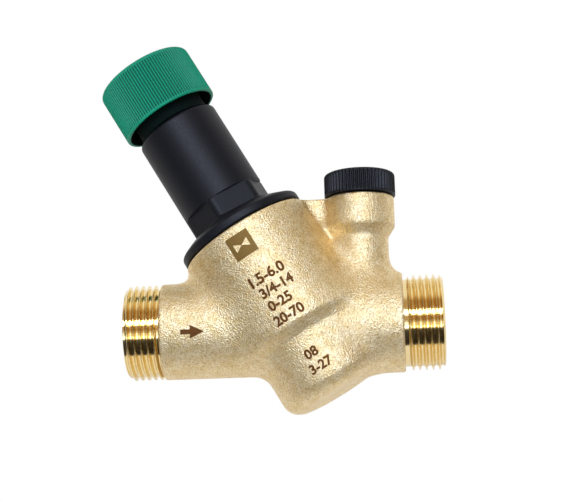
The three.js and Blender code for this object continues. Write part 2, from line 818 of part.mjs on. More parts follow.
function gaugePlug() {
  const bottom = bossTop + faceGap;
  const core = gaugeThreadRadius - gaugeThreadDepth;
  return cut(
    join(
      ribbedPrism(plugRadius, plugRibDepth, plugRibs, bottom, bottom + plugHeight, edgeBevel),
      turned([
        [0, bottom - gaugeThreadLength],
        [core - edgeBevel, bottom - gaugeThreadLength],
        [core, bottom - gaugeThreadLength + edgeBevel],
        [core, bottom + overcut],
        [0, bottom + overcut],
      ]),
    ),
    rod(core - plugWall, bottom - gaugeThreadLength - overcut, bottom - overcut),
  );
}

function plugRing() {
  const core = gaugeThreadRadius - gaugeThreadDepth;
  return solid(oRing(core + plugRingSection + threadGap, plugRingSection, bossTop - plugRingSection));
}

// Assembly

const valve = new THREE.Group();
const crossing = new THREE.Group();
crossing.position.x = inletReach;
valve.add(crossing);
crossing.add(named("housing", housing(), brass));

const springAxis = new THREE.Group();
springAxis.rotation.y = radians(-barrelTilt);
crossing.add(springAxis);
springAxis.add(
  named("spring_bonnet", springBonnet(), blackPlastic),
  named("bonnet_o_ring", bonnetRing(), rubber),
  named("adjusting_knob", knob(), greenPlastic),
  named("knob_screw", knobScrew(), steel),
  named("adjusting_spindle", spindle(), turnedBrass),
  named("thrust_washer", solid(tube(
    spindleRadius + slideGap, collarRadius, washerHeight, washerHeight + washerThickness,
  )), steel),
  named("spring_nut", springNut(), turnedBrass),
  named("adjusting_spring", spring(), steel),
  named("spring_plate", springPlate(), steel),
  named("stem_nut", stemNut(), steel),
  named("slip_ring", slipRing(), whitePlastic),
  named("diaphragm", diaphragm(), rubber),
  named("diaphragm_support", supportDisc(), steel),
  named("cartridge", cartridge(), whitePlastic),
  named("strainer", strainer(), steel),
  named("seat_sleeve", seatSleeve(), turnedBrass),
  named("seat_o_ring", seatRing(), rubber),
  named("valve_stem", stem(), turnedBrass),
  named("piston_o_ring", pistonRing(), rubber),
  named("disc_seal", discSeal(), rubber),
  named("valve_disc", disc(), turnedBrass),
  named("disc_nut", discNut(), steel),
);

const gaugeBranchAxis = new THREE.Group();
gaugeBranchAxis.position.x = gaugeOffset;
crossing.add(gaugeBranchAxis);
gaugeBranchAxis.add(
  named("gauge_plug", gaugePlug(), blackPlastic),
  named("gauge_plug_o_ring", plugRing(), rubber),
);

export default valve;
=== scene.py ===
import json
import math

import bmesh
import bpy
import numpy as np
import openvdb
from mathutils import Matrix, Vector
from mathutils.bvhtree import BVHTree


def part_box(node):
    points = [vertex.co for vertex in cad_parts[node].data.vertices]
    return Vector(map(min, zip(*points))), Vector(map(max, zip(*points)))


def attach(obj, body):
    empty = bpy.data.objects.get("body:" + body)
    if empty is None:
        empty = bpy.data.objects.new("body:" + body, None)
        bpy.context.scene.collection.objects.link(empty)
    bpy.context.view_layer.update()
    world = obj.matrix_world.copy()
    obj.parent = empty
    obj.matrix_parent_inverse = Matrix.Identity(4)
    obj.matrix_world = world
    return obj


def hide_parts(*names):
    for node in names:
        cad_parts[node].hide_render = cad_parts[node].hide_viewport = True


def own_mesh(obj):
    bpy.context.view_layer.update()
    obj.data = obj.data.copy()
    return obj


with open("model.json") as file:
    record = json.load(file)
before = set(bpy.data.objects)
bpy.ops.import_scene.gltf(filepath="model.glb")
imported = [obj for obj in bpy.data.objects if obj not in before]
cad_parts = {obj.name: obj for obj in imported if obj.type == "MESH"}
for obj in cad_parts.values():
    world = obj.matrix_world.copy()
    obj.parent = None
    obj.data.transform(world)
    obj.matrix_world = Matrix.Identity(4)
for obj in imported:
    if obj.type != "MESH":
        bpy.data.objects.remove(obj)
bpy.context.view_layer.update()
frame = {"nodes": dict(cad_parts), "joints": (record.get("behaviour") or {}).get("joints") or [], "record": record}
print("frame loaded:", len(frame["nodes"]), "nodes")

# Everything below is built in millimetres round the axes of the joints, and made metres at the end
mm = 0.001
joints = {joint["name"]: joint for joint in frame["joints"]}
crossing = Vector(joints["knob_turn"]["pos_m"])  # where the spring axis meets the pipe axis
springUp = -Vector(joints["knob_turn"]["axis"]).normalized()
tilt = math.atan2(-springUp.x, springUp.z)
gaugeX = joints["plug_turn"]["pos_m"][0]
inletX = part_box("housing")[0].x
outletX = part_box("housing")[1].x

springFrame = Matrix.Translation(crossing) @ Matrix.Rotation(-tilt, 4, "Y")
gaugeFrame = Matrix.Translation((gaugeX, 0, 0))
inletFrame = Matrix.Translation(crossing) @ Matrix.Rotation(-math.pi / 2, 4, "Y")
outletFrame = Matrix.Translation(crossing) @ Matrix.Rotation(math.pi / 2, 4, "Y")
inletReach = (crossing.x - inletX) / mm
outletReach = (outletX - crossing.x) / mm
gaugeReach = (gaugeX - crossing.x) / mm


def newPiece(name, points, faces, place=None):
    mesh = bpy.data.meshes.new(name)
    mesh.from_pydata((np.asarray(points, float) * mm).tolist(), [], faces)
    mesh.validate()
    if place is not None:
        mesh.transform(place)
    piece = bpy.data.objects.new(name, mesh)
    bpy.context.scene.collection.objects.link(piece)
    mesh.shade_smooth()
    return piece


# Rounds the corners of an outline of (radius, height, rounding) points with arcs
def roundedOutline(corners, closed=False, arcSteps=5):
    outline = []
    count = len(corners)
    for index, (radius, height, rounding) in enumerate(corners):
        here = Vector((radius, height))
        atEnd = not closed and index in (0, count - 1)
        if rounding <= 0 or atEnd:
            outline.append(tuple(here))
            continue
        back = Vector(corners[index - 1][:2]) - here
        ahead = Vector(corners[(index + 1) % count][:2]) - here
        half = back.angle(ahead) / 2
        reach = min(rounding / math.tan(half), 0.49 * back.length, 0.49 * ahead.length)
        middle = here + (back.normalized() + ahead.normalized()).normalized() * reach / math.cos(half)
        start = here + back.normalized() * reach - middle
        end = here + ahead.normalized() * reach - middle
        sweep = start.angle_signed(end)
        for step in range(arcSteps + 1):
            turned = start.copy()
            turned.rotate(Matrix.Rotation(-sweep * step / arcSteps, 2))
            outline.append(tuple(middle + turned))
    return outline


# Splits the long stretches of an outline, so that a shape function can bend them
def withRows(outline, spacing, closed=False):
    rows = []
    pairs = zip(outline, outline[1:] + outline[:1] if closed else outline[1:])
    for start, end in pairs:
        length = math.dist(start, end)
        parts = max(1, math.ceil(length / spacing))
        for part in range(parts):
            share = part / parts
            rows.append((start[0] + (end[0] - start[0]) * share, start[1] + (end[1] - start[1]) * share))
    if not closed:
        rows.append(outline[-1])
    return rows


# Turns an outline round Z; shape(radius, height, angle) may move each point in or out
def spun(name, rows, columns, place, shape=None, closed=False):
    angle = np.arange(columns) * 2 * math.pi / columns
    radius = np.repeat([row[0] for row in rows], columns)
    height = np.repeat([row[1] for row in rows], columns)
    angle = np.tile(angle, len(rows))
    if shape is not None:
        radius = shape(radius, height, angle)
    points = np.stack([radius * np.cos(angle), radius * np.sin(angle), height], axis=1)
    faces = []
    lastRow = len(rows) if closed else len(rows) - 1
    for row in range(lastRow):
        low = row * columns
        high = (row + 1) % len(rows) * columns
        for column in range(columns):
            after = (column + 1) % columns
            faces.append((low + column, low + after, high + after, high + column))
    piece = newPiece(name, points, faces, place)
    closeMesh(piece)
    return piece


# Welds points that fall together and turns every face outwards
def closeMesh(piece):
    bm = bmesh.new()
    bm.from_mesh(piece.data)
    bmesh.ops.remove_doubles(bm, verts=bm.verts, dist=1e-3 * mm)
    bmesh.ops.recalc_face_normals(bm, faces=bm.faces)
    bm.to_mesh(piece.data)
    bm.free()
    piece.data.shade_smooth()


# Signed distance to a shape turned from an open outline of (radius, height) points, axis to axis
def turnedDistance(radius, height, outline):
    nearest = np.full(radius.shape, 1e9, np.float32)
    inside = np.zeros(radius.shape, bool)
    for start, end in zip(outline, outline[1:] + outline[:1]):
        edge = np.subtract(end, start)
        onAxis = start[0] < 0.01 and end[0] < 0.01
        lengthSquared = float(edge @ edge)
        if lengthSquared < 1e-9:
            continue
        if not onAxis:
            share = ((radius - start[0]) * edge[0] + (height - start[1]) * edge[1]) / lengthSquared
            share = np.clip(share, 0, 1)
            gap = (radius - start[0] - share * edge[0]) ** 2 + (height - start[1] - share * edge[1]) ** 2
            np.minimum(nearest, gap, out=nearest)
        if abs(edge[1]) > 1e-9:
            between = (height >= min(start[1], end[1])) & (height < max(start[1], end[1]))
            crossingRadius = start[0] + (height - start[1]) * edge[0] / edge[1]
            inside ^= between & (radius < crossingRadius)
    distance = np.sqrt(nearest)
    return np.where(inside, -distance, distance).astype(np.float32)


# Joins two distance fields with a fillet of about that radius
def filletJoin(first, second, fillet):
    overlap = np.maximum(fillet - np.abs(first - second), 0) / fillet
    return np.minimum(first, second) - overlap ** 2 * fillet / 4


# The forging between its two threaded ends
housingForm = {
    "voxel": 0.4,
    "inletRadius": (13.35, 13.5),  # at the thread, at the barrel
    "inletThread": 9.9,
    "outletRadius": 13.6,
    "outletThread": 11.0,
    "barrelRadius": 18.75,
    "rimHeight": 30.7,
    "rimRounding": 0.3,
    "step": (-0.6, -3.6),  # heights between which the barrel narrows
    "stepRounding": (1.6, 1.4),
    "lowerRadius": 15.9,
    "bottomHeight": -20.8,
    "bottomRounding": 4.6,
    "bossRadius": 9.5,
    "bossTop": 35.9,
    "bossFoot": 27.4,
    "bossSlope": 3.0,  # height over which the branch widens to the boss
    "bossRounding": (1.1, 0.4),
    "neckRadius": 7.47,
    "neckRounding": 1.6,
    "webHalf": 1.9,
    "webFoot": 10,
    "pipeEndBevel": 0.3,
    "pipeFillet": (3.2, 5.5),  # under the pipes, over them
    "pipeFilletHeights": (-8, 5),
    "neckFillet": 6.0,
    "webFillet": 2.2,
    "bore": 8.0,
    "boreSlack": 0.05,
    "boreDepth": 18,
    "channel": 6.4,
    "channelOverlap": 1,
    "landRadius": 10.5,
    "chamberRadius": 12.5,
    "topBoreRadius": 14.85,
    "bottomWall": 3.3,
    "chamberFloor": 4.0,
    "outletRoomTop": -4.3,
    "shoulder": 20.0,
    "openAbove": 9,
    "gaugeBore": 6.1,
    "gaugeDepth": 9,
    "gaugeHole": 2.2,
    "gridOverlap": 2,  # the grid reaches past the forging's ends by this much
    "gridHalfWidth": 19.2,
    "gridHeights": (-28, 38.5),
}


def forgedHousing(form):
    voxel = form["voxel"]
    inletEnd = -inletReach + form["inletThread"]
    outletEnd = outletReach - form["outletThread"]
    x = np.arange(inletEnd - form["gridOverlap"], outletEnd + form["gridOverlap"], voxel)
    y = np.arange(-form["gridHalfWidth"], form["gridHalfWidth"], voxel)
    z = np.arange(*form["gridHeights"], voxel)
    x, y, z = np.meshgrid(x.astype(np.float32), y.astype(np.float32), z.astype(np.float32), indexing="ij")
    sine, cosine = math.sin(tilt), math.cos(tilt)
    height = -x * sine + z * cosine  # along the spring axis
    across = x * cosine + z * sine
    springRadius = np.hypot(across, y)
    pipeRadius = np.hypot(y, z)
    gaugeRadius = np.hypot(x - gaugeReach, y)

    stepTop, stepFoot = form["step"]
    barrel = turnedDistance(springRadius, height, roundedOutline([
        (0, form["bottomHeight"], 0),
        (form["lowerRadius"], form["bottomHeight"], form["bottomRounding"]),
        (form["lowerRadius"], stepFoot, form["stepRounding"][1]),
        (form["barrelRadius"], stepTop, form["stepRounding"][0]),
        (form["barrelRadius"], form["rimHeight"], form["rimRounding"]),
        (0, form["rimHeight"], 0),
    ]))
    bevel = form["pipeEndBevel"]
    inletPipe = turnedDistance(pipeRadius, -x, [
        (0, 0),
        (form["inletRadius"][1], 0),
        (form["inletRadius"][0], -inletEnd - bevel),
        (form["inletRadius"][0] - bevel, -inletEnd),
        (0, -inletEnd),
    ])
    outletPipe = turnedDistance(pipeRadius, x, [
        (0, 0),
        (form["outletRadius"], 0),
        (form["outletRadius"], outletEnd - bevel),
        (form["outletRadius"] - bevel, outletEnd),
        (0, outletEnd),
    ])
    branch = turnedDistance(gaugeRadius, z, roundedOutline([
        (0, 0, 0),
        (form["neckRadius"], 0, 0),
        (form["neckRadius"], form["bossFoot"] - form["bossSlope"], form["neckRounding"]),
        (form["bossRadius"], form["bossFoot"], form["bossRounding"][0]),
        (form["bossRadius"], form["bossTop"], form["bossRounding"][1]),
        (0, form["bossTop"], 0),
    ]))
    web = np.maximum.reduce([
        np.abs(y) - form["webHalf"],
        z - form["bossTop"],
        form["webFoot"] - z,
        -across,
        height - form["rimHeight"],
        x - gaugeReach,
    ])
    pipeFillet = np.interp(z, form["pipeFilletHeights"], form["pipeFillet"]).astype(np.float32)
    body = filletJoin(barrel, inletPipe, pipeFillet)
    body = filletJoin(body, outletPipe, pipeFillet)
    body = filletJoin(body, branch, form["neckFillet"])
    body = filletJoin(body, web, form["webFillet"])
    body = np.maximum(body, inletEnd - x)
    body = np.maximum(body, x - outletEnd)
    body = np.maximum(body, z - form["bossTop"])
    body = np.maximum(body, height - form["rimHeight"])

    floor = form["bottomHeight"] + form["bottomWall"]
    bores = turnedDistance(springRadius, height, [
        (0, floor),
        (form["landRadius"], floor),
        (form["landRadius"], form["chamberFloor"]),
        (form["chamberRadius"], form["chamberFloor"]),
        (form["chamberRadius"], form["shoulder"]),
        (form["topBoreRadius"], form["shoulder"]),
        (form["topBoreRadius"], form["rimHeight"] + form["openAbove"]),
        (0, form["rimHeight"] + form["openAbove"]),
    ])
    gaugeBore = np.maximum(gaugeRadius - form["gaugeBore"], form["bossTop"] - form["gaugeDepth"] - z)
    gaugeHole = np.maximum.reduce([gaugeRadius - form["gaugeHole"], -z, z - form["bossTop"]])
    chamberMiddle = (form["chamberFloor"] + form["shoulder"]) / 2
    outletMiddle = (floor + form["outletRoomTop"]) / 2
    inletStart = -inletReach + form["boreDepth"]
    outletStart = outletReach - form["boreDepth"]
    inletBore = np.maximum(pipeRadius - form["bore"] - form["boreSlack"], x - inletStart)
    outletBore = np.maximum(pipeRadius - form["bore"] - form["boreSlack"], outletStart - x)
    fromInlet = (inletStart - form["channelOverlap"], 0)
    toOutlet = (outletStart + form["channelOverlap"], 0)
    inletWay = barDistance(x, y, z, fromInlet, springPoint(chamberMiddle), form["channel"])
    outletWay = barDistance(x, y, z, springPoint(outletMiddle), toOutlet, form["channel"])
    for cavity in (bores, gaugeBore, gaugeHole, inletBore, outletBore, inletWay, outletWay):
        body = np.maximum(body, -cavity)

    grid = openvdb.FloatGrid(3.0)
    grid.copyFromArray(np.ascontiguousarray(body))
    points, quads = grid.convertToQuads(isovalue=0.0)
    points = points * voxel + np.array([x[0, 0, 0], y[0, 0, 0], z[0, 0, 0]])
    return newPiece("forged_housing", points, quads.tolist(), Matrix.Translation(crossing))


# Place on the spring axis, as (x, z) from the crossing
def springPoint(height):
    return (-height * math.sin(tilt), height * math.cos(tilt))


# Distance to a round bar in the mid-plane between two (x, z) points
def barDistance(x, y, z, start, end, radius):
    along = np.subtract(end, start)
    length = math.hypot(*along)
    along = along / length
    reach = (x - start[0]) * along[0] + (z - start[1]) * along[1]
    offset = np.hypot((x - start[0]) * along[1] - (z - start[1]) * along[0], y)
    return np.maximum.reduce([offset - radius, -reach, reach - length])


# G 3/4 external thread, turned as a true helix up to the chamfer at the end face
threadForm = {
    "crest": 13.22,
    "depth": 1.16,
    "pitch": 1.814,
    "crestShare": 0.1,  # of half a pitch, left flat on the crest
    "rootShare": 0.26,
    "chamfer": 1.1,
    "runOut": 0.4,  # length over which the thread dies out at a relief
    "bore": 8.0,
    "boreBevel": 0.5,
    "inForging": 1.5,  # how far the sleeve reaches into the forging
    "row": 0.08,
    "columns": 160,
}

# "relief" is the plain groove beside the forging, "nearCrest" how far from the end face the first crest
# lies on the side of the marks
threadEnds = {
    "inlet_thread": {"reach": inletReach, "length": housingForm["inletThread"], "place": inletFrame,
                     "relief": 0, "nearCrest": 1.25},
    "outlet_thread": {"reach": outletReach, "length": housingForm["outletThread"], "place": outletFrame,
                      "relief": 1.1, "nearCrest": 2.1},
}


def threadedEnd(name, end, form):
    reach, length, relief = end["reach"], end["length"], end["relief"]
    root = form["crest"] - form["depth"]
    start = reach - length
    back = start - form["inForging"]
    rows = [(form["bore"], back), (root, back), (root, start)]
    steps = int(length / form["row"])
    rows += [(form["crest"], start + length * step / steps) for step in range(1, steps)]
    rows += roundedOutline([
        (form["crest"] - form["chamfer"], reach, 0.2),
        (form["bore"] + form["boreBevel"], reach, 0.1),
        (form["bore"], reach - form["boreBevel"], 0.1),
        (form["bore"], back, 0),
    ])[:-1]

    def cutThread(radius, height, angle):
        onThread = radius > form["crest"] - 0.01
        turn = (height - reach + end["nearCrest"]) / form["pitch"] - angle / (2 * math.pi) + 1.25
        flank = np.abs(2 * (turn % 1) - 1)  # 0 on the crest, 1 in the root
        share = np.clip((flank - form["crestShare"]) / (1 - form["crestShare"] - form["rootShare"]), 0, 1)
        depth = form["depth"] * (0.35 * share * share * (3 - 2 * share) + 0.65 * share)
        fade = np.clip((height - start - relief) / form["runOut"], 0, 1) if relief > 0 else 1.0
        depth = depth * fade + form["depth"] * (1 - fade)
        chamfer = form["crest"] - np.clip(height - reach + form["chamfer"], 0, None)
        return np.where(onThread, np.minimum(form["crest"] - depth, chamfer), radius)

    return spun(name, rows, form["columns"], end["place"], cutThread, closed=True)


# Glass-filled bonnet: flange, hexagon, cylinder and the neck that carries the knob's sleeve
bonnetForm = {
    "foot": (14.5, 25.8),
    "footRelief": (0.5, 1.6),  # depth and height of the groove under the flange
    "flangeHeight": 31.0,
    "flangeRadius": 18.65,
    "flangeEdge": 2.4,
    "hexBottom": 36.3,
    "hexTop": 42.3,
    "halfFlats": 11.05,
    "hexCorner": 12.4,
    "hexTurn": -15,
    "hexInside": 10.9,
    "flatRunOut": 2.2,  # how fast the flats run out into the flange
    "flatSoftness": 0.12,
    "radius": 12.1,
    "shoulder": 68.2,
    "neckRadius": 8.9,
    "neckTop": 76.2,
    "boreRadius": 10.3,
    "ceiling": 65.2,
    "spindleHole": 4.2,
}


def mouldedBonnet(form):
    footRadius, footHeight = form["foot"]
    reliefDepth, reliefHeight = form["footRelief"]
    edgeTop = form["flangeHeight"] + form["flangeEdge"]
    outline = roundedOutline([
        (form["spindleHole"], form["ceiling"], 0),
        (form["boreRadius"], form["ceiling"], 0.8),
        (form["boreRadius"], footHeight, 0.2),
        (footRadius, footHeight, 0.3),
        (footRadius, form["flangeHeight"] - reliefHeight, 0),
        (footRadius - reliefDepth, form["flangeHeight"] - reliefHeight + 0.1, 0),
        (footRadius - reliefDepth, form["flangeHeight"], 0),
        (form["flangeRadius"], form["flangeHeight"], 0.5),
        (form["flangeRadius"], edgeTop, 0.9),
        (form["hexCorner"] + 0.9, form["hexBottom"] - 0.25, 0.5),
        (form["hexCorner"], form["hexBottom"] + 0.25, 0.15),
        (form["hexCorner"], form["hexTop"] - 0.35, 0.1),
        (form["radius"], form["hexTop"], 0.05),
        (form["radius"], form["hexTop"] + 0.06, 0.0),
        (form["radius"], form["shoulder"], 0.9),
        (form["neckRadius"], form["shoulder"], 0.3),
        (form["neckRadius"], form["neckTop"], 0.4),
        (form["spindleHole"], form["neckTop"], 0.3),
    ], closed=True)
    rows = withRows(outline, 0.4, closed=True)

    def cutFlats(radius, height, angle):
        inHex = (height > form["hexBottom"] - 1.2) & (height < form["hexTop"] + 0.01)
        inHex &= radius > form["hexInside"]
        sector = math.radians(60)
        offset = (angle - math.radians(form["hexTurn"]) + sector / 2) % sector - sector / 2
        flat = form["halfFlats"] / np.cos(offset)
        slope = np.clip(form["hexBottom"] - height, 0, None) * form["flatRunOut"]
        gap = radius - (flat + slope)
        softness = form["flatSoftness"]
        soft = softness * np.exp(-np.abs(gap) / softness) / 2
        cut = np.where(gap > 0, radius - gap - soft, radius - soft)
        return np.where(inHex, cut, radius)

    return spun("moulded_bonnet", rows, 360, springFrame, cutFlats, closed=True)


# Setting knob with fine ribs, a plain rim at both ends and the sleeve that turns on the bonnet's neck
knobForm = {
    "radius": 14.2,
    "wall": 1.15,
    "rim": 71.6,
    "top": 87.3,
    "ribs": 108,
    "ribDepth": 0.42,
    "ribShape": 1.2,  # above 1 the crests are broader than the grooves
    "plainRim": (0.55, 0.9),  # under the ribs, over them
    "ceiling": 1.7,
    "topDish": (11.6, 0.35),  # radius and depth of the shallow dish in the top
    "sleeve": (9.4, 10.4),
    "sleeveFoot": 68.8,
    "bush": 5.4,
    "bushFoot": 76.5,
    "hexHole": 4.1,
    "spindleTop": 83.6,
    "screwHole": 1.9,
    "screwSeat": 85.3,
    "screwPocket": 3.9,
}


# Cuts the ribs of a knob or a plug, which die out over "runOut" at both ends
def ribbed(form, low, high):
    edge, runOut = 0.75, 0.35

    def cutRibs(radius, height, angle):
        onSide = radius > form["radius"] - edge
        fade = np.clip((height - low) / runOut, 0, 1) * np.clip((high - height) / runOut, 0, 1)
        groove = (0.5 - 0.5 * np.cos(angle * form["ribs"])) ** form["ribShape"]
        return np.where(onSide, radius - form["ribDepth"] * fade * groove, radius)

    return cutRibs


def mouldedKnob(form):
    inner = form["radius"] - form["wall"]
    ceiling = form["top"] - form["ceiling"]
    dishRadius, dishDepth = form["topDish"]
    outline = roundedOutline([
        (form["screwPocket"], form["top"], 0.3),
        (form["screwPocket"], form["screwSeat"], 0),
        (form["screwHole"], form["screwSeat"], 0),
        (form["screwHole"], form["spindleTop"], 0),
        (form["hexHole"], form["spindleTop"], 0),
        (form["hexHole"], form["bushFoot"], 0),
        (form["bush"], form["bushFoot"], 0.2),
        (form["bush"], ceiling, 0.4),
        (form["sleeve"][0], ceiling, 0.4),
        (form["sleeve"][0], form["sleeveFoot"], 0.2),
        (form["sleeve"][1], form["sleeveFoot"], 0.3),
        (form["sleeve"][1], ceiling, 0.5),
        (inner, ceiling, 0.6),
        (inner, form["rim"], 0.3),
        (form["radius"], form["rim"], 0.45),
        (form["radius"], form["top"], 1.3),
        (dishRadius, form["top"], 0.2),
        (dishRadius - 0.2, form["top"] - dishDepth, 0.2),
    ], closed=True)
    rows = withRows(outline, 0.55, closed=True)
    below, above = form["plainRim"]
    shape = ribbed(form, form["rim"] + below, form["top"] - above)
    knob = spun("setting_knob", rows, form["ribs"] * 8, springFrame, shape, closed=True)
    toLocal = springFrame.inverted()
    # Painted shade: the faces deep inside the knob get the second material, a near-black green for the shade there
    for face in knob.data.polygons:  # the faces inside get the second material
        middle = toLocal @ face.center / mm
        if math.hypot(middle.x, middle.y) < inner + 0.3 and middle.z < ceiling + 0.1:
            face.material_index = 1
    return knob


# Plug of the gauge branch, with coarser ribs
plugForm = {
    "radius": 10.0,
    "bottom": 36.2,
    "top": 42.8,
    "ribs": 56,
    "ribDepth": 0.42,
    "ribShape": 1.2,
    "plainRim": (0.35, 0.55),
    "dish": (7.4, 8.0, 0.7),  # radius at its floor, at its edge, and depth
    "core": 5.7,
    "threadLength": 8,
    "coreBore": 3.9,
}


def mouldedPlug(form):
    dishFloor, dishEdge, dishDepth = form["dish"]
    outline = roundedOutline([
        (0, form["top"] - dishDepth, 0),
        (dishFloor, form["top"] - dishDepth, 0.4),
        (dishEdge, form["top"], 0.3),
        (form["radius"], form["top"], 0.9),
        (form["radius"], form["bottom"], 0.35),
        (form["core"] + 0.3, form["bottom"], 0.1),
        (form["core"], form["bottom"] - form["threadLength"], 0.6),
        (form["coreBore"], form["bottom"] - form["threadLength"], 0.2),
        (form["coreBore"], form["bottom"] - 1, 0.4),
        (0, form["bottom"] - 1, 0),
    ])
    rows = withRows(outline, 0.35)
    below, above = form["plainRim"]
    shape = ribbed(form, form["bottom"] + below, form["top"] - above)
    return spun("gauge_branch_plug", rows, form["ribs"] * 10, gaugeFrame, shape)


# Marks burnt into the body: a valve symbol, sizes as plain numbers and the flow arrow. Each is drawn flat,
# as (across, along) in mm, and laid on the forging from outside.
markForm = {
    "skin": 0.035,  # how far a mark stands on the brass
    "cell": 0.5,
    "boldness": 0.05,  # of the letter height
    "capital": 0.72,  # height of a numeral in a font of size 1
    "stepHeight": -2,  # lines below this lie on the lower barrel
    "symbol": {"middle": (24.75, -7.9), "half": 3.42},
    "lines": [  # text, foot height on the spring axis, left angle in degrees, letter height
        ("1.5-6.0", 13.0, -21.7, 2.95),
        ("3/4-14", 9.0, -17.0, 2.8),
        ("0-25", 4.9, -16.4, 2.8),
        ("20-70", 0.6, -19.0, 2.8),
        ("08", -10.9, -14.2, 2.7),
        ("3-27", -15.0, -18.0, 2.6),
    ],
    "arrow": {"tail": -32.4, "tip": -25.9, "head": 3.9, "half": 1.85, "shaft": 0.66, "angle": -9},
}


# Lays (angle, height) points round an axis on the first surface met from outside
def laidOn(surface, points, axis, front, form):
    aside = axis.cross(front)
    farOut = 40 * mm
    laid = []
    for angle, height in points:
        outward = front * math.cos(angle) + aside * math.sin(angle)
        start = crossing + axis * height * mm + outward * farOut
        hit, normal, index, distance = surface.ray_cast(start, -outward)
        laid.append((hit + normal * form["skin"] * mm) / mm)
    return laid


def textShape(text, height, form):
    curve = bpy.data.curves.new("digits", "FONT")
    curve.body = text
    curve.size = height / form["capital"]
    curve.offset = form["boldness"] * height
    curve.resolution_u = 3
    holder = bpy.data.objects.new("digits", curve)
    bpy.context.scene.collection.objects.link(holder)
    shape = bpy.data.meshes.new_from_object(holder.evaluated_get(bpy.context.evaluated_depsgraph_get()))
    bpy.data.objects.remove(holder)
    points = [tuple(vertex.co)[:2] for vertex in shape.vertices]
    return points, [tuple(face.vertices) for face in shape.polygons]


# Cuts a flat shape into cells small enough to follow a curved surface
def cutIntoCells(points, faces, cell):
    bm = bmesh.new()
    corners = [bm.verts.new((x, y, 0)) for x, y in points]
    for face in faces:
        bm.faces.new([corners[index] for index in face])
    for axis in (0, 1):
        values = [point[axis] for point in points]
        for step in range(math.ceil(min(values) / cell), math.ceil(max(values) / cell)):
            place, normal = [0, 0, 0], [0, 0, 0]
            place[axis], normal[axis] = step * cell, 1
            everything = bm.verts[:] + bm.edges[:] + bm.faces[:]
            bmesh.ops.bisect_plane(bm, geom=everything, plane_co=place, plane_no=normal)
    bm.verts.index_update()
    cellPoints = [(vert.co.x, vert.co.y) for vert in bm.verts]
    cells = [tuple(vert.index for vert in face.verts) for face in bm.faces]
    bm.free()
    return cellPoints, cells


def bodyMarks(body, form):
    surface = BVHTree.FromPolygons([vert.co for vert in body.data.vertices],
                                   [tuple(face.vertices) for face in body.data.polygons])
    points, faces, fills = [], [], []

    def addMark(shape, radius, angle, height, axis, fill=0):
        flat, polygons = cutIntoCells(*shape, form["cell"])
        turned = [(x / radius + math.radians(angle), y + height) for x, y in flat]
        base = len(points)
        points.extend(laidOn(surface, turned, axis, Vector((0, -1, 0)), form))
        faces.extend(tuple(base + index for index in polygon) for polygon in polygons)
        fills.extend([fill] * len(polygons))

    for text, height, angle, size in form["lines"]:
        onBarrel = height > form["stepHeight"]
        radius = housingForm["barrelRadius"] if onBarrel else housingForm["lowerRadius"]
        addMark(textShape(text, size, form), radius, angle, height, springUp)

    # A square with the two triangles of a valve left bare in it
    half = form["symbol"]["half"]
    wing, tip = 0.62 * half, 0.36 * half
    outer = [(-half, -half), (half, -half), (half, half), (-half, half)]
    shape = (outer + [(-wing, -tip), (0.0, 0.0), (wing, -tip), (wing, tip), (-wing, tip)], [
        (0, 1, 6, 5, 4),
        (1, 2, 7, 6),
        (2, 3, 8, 5, 7),
        (3, 0, 4, 8),
    ])
    height, angle = form["symbol"]["middle"]
    addMark(shape, housingForm["barrelRadius"], angle, height, springUp, fill=1)

    arrow = form["arrow"]
    neck = arrow["tip"] - arrow["head"]
    outline = [
        (-arrow["shaft"], arrow["tail"]), (arrow["shaft"], arrow["tail"]), (arrow["shaft"], neck),
        (arrow["half"], neck), (0, arrow["tip"]), (-arrow["half"], neck), (-arrow["shaft"], neck),
    ]
    shape = (outline, [(0, 1, 2, 6), (6, 2, 3, 4, 5)])
    addMark(shape, housingForm["inletRadius"][0], -arrow["angle"], 0, Vector((1, 0, 0)))
    marks = newPiece("body_marks", points, faces)
    marks.data.polygons.foreach_set("material_index", fills)
    return marks


# Setting spring between the lower plate and the nut
springForm = {
    "radius": 8.15,
    "wire": 1.25,
    "turns": 6.5,
    "closedTurns": 0.75,
    "foot": 26.8,
    "head": 56.4,
    "stepsPerTurn": 40,
    "sides": 14,
}


def woundSpring(form):
    stepsPerTurn, sides = form["stepsPerTurn"], form["sides"]
    steps = int(form["turns"] * stepsPerTurn)
    turn = np.arange(steps + 1) / stepsPerTurn
    opened = np.clip((turn - form["closedTurns"]) / (form["turns"] - 2 * form["closedTurns"]), 0, 1)
    coilRise = 2.2 * form["wire"]
    rise = coilRise * np.minimum(turn, form["closedTurns"])
    rise = rise + coilRise * np.maximum(turn - form["turns"] + form["closedTurns"], 0)
    free = form["head"] - form["foot"] - 2 * form["wire"] - 2 * coilRise * form["closedTurns"]
    height = form["foot"] + form["wire"] + rise + opened * free
    angle = 2 * math.pi * turn
    points, faces = [], []
    for place, level in zip(angle, height):
        for side in range(sides):
            around = 2 * math.pi * side / sides
            reach = form["radius"] + form["wire"] * math.cos(around)
            lift = form["wire"] * math.sin(around)
            points.append((reach * math.cos(place), reach * math.sin(place), level + lift))
    for step in range(steps):
        for side in range(sides):
            after = (side + 1) % sides
            low, high = step * sides, (step + 1) * sides
            faces.append((low + side, low + after, high + after, high + side))
    faces.append(tuple(range(sides)))
    faces.append(tuple(reversed(range(steps * sides, (steps + 1) * sides))))
    piece = newPiece("wound_spring", points, faces, springFrame)
    closeMesh(piece)
    return piece


# sRGB hex colour as linear red, green, blue and alpha
def linear(hexColour):
    channels = [int(hexColour[start:start + 2], 16) / 255 for start in (1, 3, 5)]
    return [c / 12.92 if c <= 0.04045 else ((c + 0.055) / 1.055) ** 2.4 for c in channels] + [1.0]


